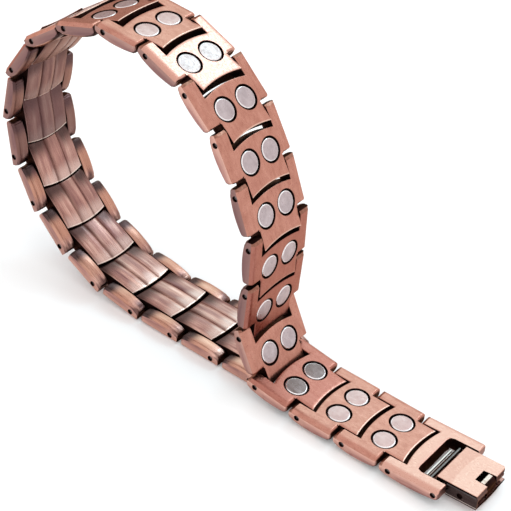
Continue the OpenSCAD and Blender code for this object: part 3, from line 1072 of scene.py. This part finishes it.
def build_clasp_cover():
    """Dark polished cover: a tray with a faceted underside, side walls, a finger nick, a knuckle in the
    plate's notch with a pale cap as a painted highlight, and a lip of two ridges that snaps on the bar"""
    y0, y1 = CLASP_Y, BAND_W - CLASP_Y
    third = (y1 - y0) / 3
    materials = [dark_bronze, cream_copper, lip_steel, patina_and_shade, antique_copper]
    tray = [(y0 + TRAY_INSET, TRAY_TOP), (y0 + TRAY_INSET, TRAY_SIDE), (y0 + third, TRAY_FLOOR),
            (y1 - third, TRAY_FLOOR), (y1 - TRAY_INSET, TRAY_SIDE), (y1 - TRAY_INSET, TRAY_TOP)]
    bm = bmesh.new()
    prism(bm, tray, COVER_X0, COVER_X1, lengthwise, (PATINA_AND_SHADE, UNDERSIDE, PATINA_AND_SHADE), bevel=0.12)
    add_side_wall(bm, y0, COVER_X1, WALL_TOP, materials)
    add_side_wall(bm, y1, FAR_WALL_X1, FAR_WALL_TOP, materials)
    knuckle = (NOTCH_Y0 + NOTCH_PLAY, NOTCH_Y1 - NOTCH_PLAY)
    rod_along_y(bm, COVER_PIN_X, KNUCKLE_R, *knuckle, PATINA_AND_SHADE)
    back_x, front_x, slope_x = COVER_PIN_X - 0.6, COVER_PIN_X + 0.8, COVER_PIN_X + 0.15
    block = [(back_x, COVER_LOW), (front_x, COVER_LOW), (front_x, 0), (slope_x, KNUCKLE_TOP),
             (back_x, KNUCKLE_TOP)]
    prism(bm, block, *knuckle, crosswise, (PATINA_AND_SHADE, PATINA_AND_SHADE, PATINA_AND_SHADE))
    # Pale cap on the knuckle's top: a painted highlight
    cap_x = (back_x - 0.02, slope_x - 0.02)
    cap_y = (knuckle[0] + 0.02, knuckle[1] - 0.02)
    cap = [(cap_x[0], cap_y[0]), (cap_x[1], cap_y[0]), (cap_x[1], cap_y[1]), (cap_x[0], cap_y[1])]
    prism(bm, cap, 0.5, CAP_TOP, upright, (CREAM, CREAM, CREAM), bevel=0.06)
    slant_x, slant_y = 0.08, LIP_Y1 - 0.15
    for x0, x1, top in RIDGES:
        ridge = [(x0, LIP_Y0), (x1, LIP_Y0), (x1, slant_y), (x1 - slant_x, LIP_Y1), (x0 + slant_x, LIP_Y1),
                 (x0, slant_y)]
        prism(bm, ridge, COVER_LOW, top, upright, (LIP, LIP, LIP), bevel=0.07)
    clasp_piece("copper_clasp_cover", bm, materials, "clasp_cover", "clasp_cover")


def dress_node(name, material):
    """Finish for a CAD node that keeps its own mesh"""
    nodes[name].data.materials.clear()
    nodes[name].data.materials.append(material)


build_links()
build_magnets()
build_clasp_plate()
build_clasp_cover()
for name, material in (("link_pins", dark_steel), ("clasp_pin", dark_steel), ("cover_pin", dark_steel),
                       ("snap_bar", bar_steel), ("catch_bar", bright_steel)):
    dress_node(name, material)

# Floor
floor_mesh = bpy.data.meshes.new("floor")
reach = 0.3
corners = [(-reach, -reach, 0), (reach, -reach, 0), (reach, reach, 0), (-reach, reach, 0)]
floor_mesh.from_pydata(corners, [], [(0, 1, 2, 3)])
floor = bpy.data.objects.new("floor", floor_mesh)
scene.collection.objects.link(floor)
floor_paint, floor_tree, floor_shader = new_material("floor_paint")
floor_shader.inputs["Base Color"].default_value = (0.84, 0.84, 0.84, 1)
floor_shader.inputs["Roughness"].default_value = 0.9
floor_shader.inputs["Emission Color"].default_value = (1, 1, 1, 1)
floor_shader.inputs["Emission Strength"].default_value = 0.1
floor_mesh.materials.append(floor_paint)

# Studio light: a white tent with a bright soft box behind the bracelet, a cooler wall at the left,
# a brighter roof and a darker card. Each row: name, direction, outer and inner angle, added light
TENT = 1.2
PANELS = [
    ("soft_box", (0.005, 0.69, 0.72), 10, 5, (4.2, 6.6, 7.6)),
    ("left_wall", (-0.44, 0.67, 0.60), 14, 8, (0.7, 1.5, 1.65)),
    ("left_card", (-0.72, 0.66, 0.10), 24, 12, (-0.55, -0.6, -0.6)),
    ("roof", (0.2, -0.1, 0.97), 42, 20, (0.2, 0.2, 0.2)),
]


def studio_world():
    """World light: the tent, with each panel's light added round its direction"""
    world = bpy.data.worlds.new("world")
    scene.world = world
    world.use_nodes = True
    tree = world.node_tree
    coords = add_node(tree, "ShaderNodeTexCoord")
    total = add_node(tree, "ShaderNodeCombineXYZ", X=TENT, Y=TENT, Z=TENT).outputs[0]
    for name, direction, outer, inner, light in PANELS:
        dot = add_node(tree, "ShaderNodeVectorMath", operation="DOT_PRODUCT")
        dot.label = name
        length = math.sqrt(sum(c * c for c in direction))
        dot.inputs[1].default_value = tuple(c / length for c in direction)
        tree.links.new(coords.outputs["Generated"], dot.inputs[0])
        edge = fade(tree, dot.outputs["Value"], math.cos(math.radians(outer)), math.cos(math.radians(inner)))
        panel = add_node(tree, "ShaderNodeVectorMath", operation="SCALE")
        panel.inputs[0].default_value = light
        tree.links.new(edge, panel.inputs["Scale"])
        added = add_node(tree, "ShaderNodeVectorMath", operation="ADD")
        tree.links.new(total, added.inputs[0])
        tree.links.new(panel.outputs[0], added.inputs[1])
        total = added.outputs[0]
    tree.links.new(total, tree.nodes["Background"].inputs["Color"])


studio_world()
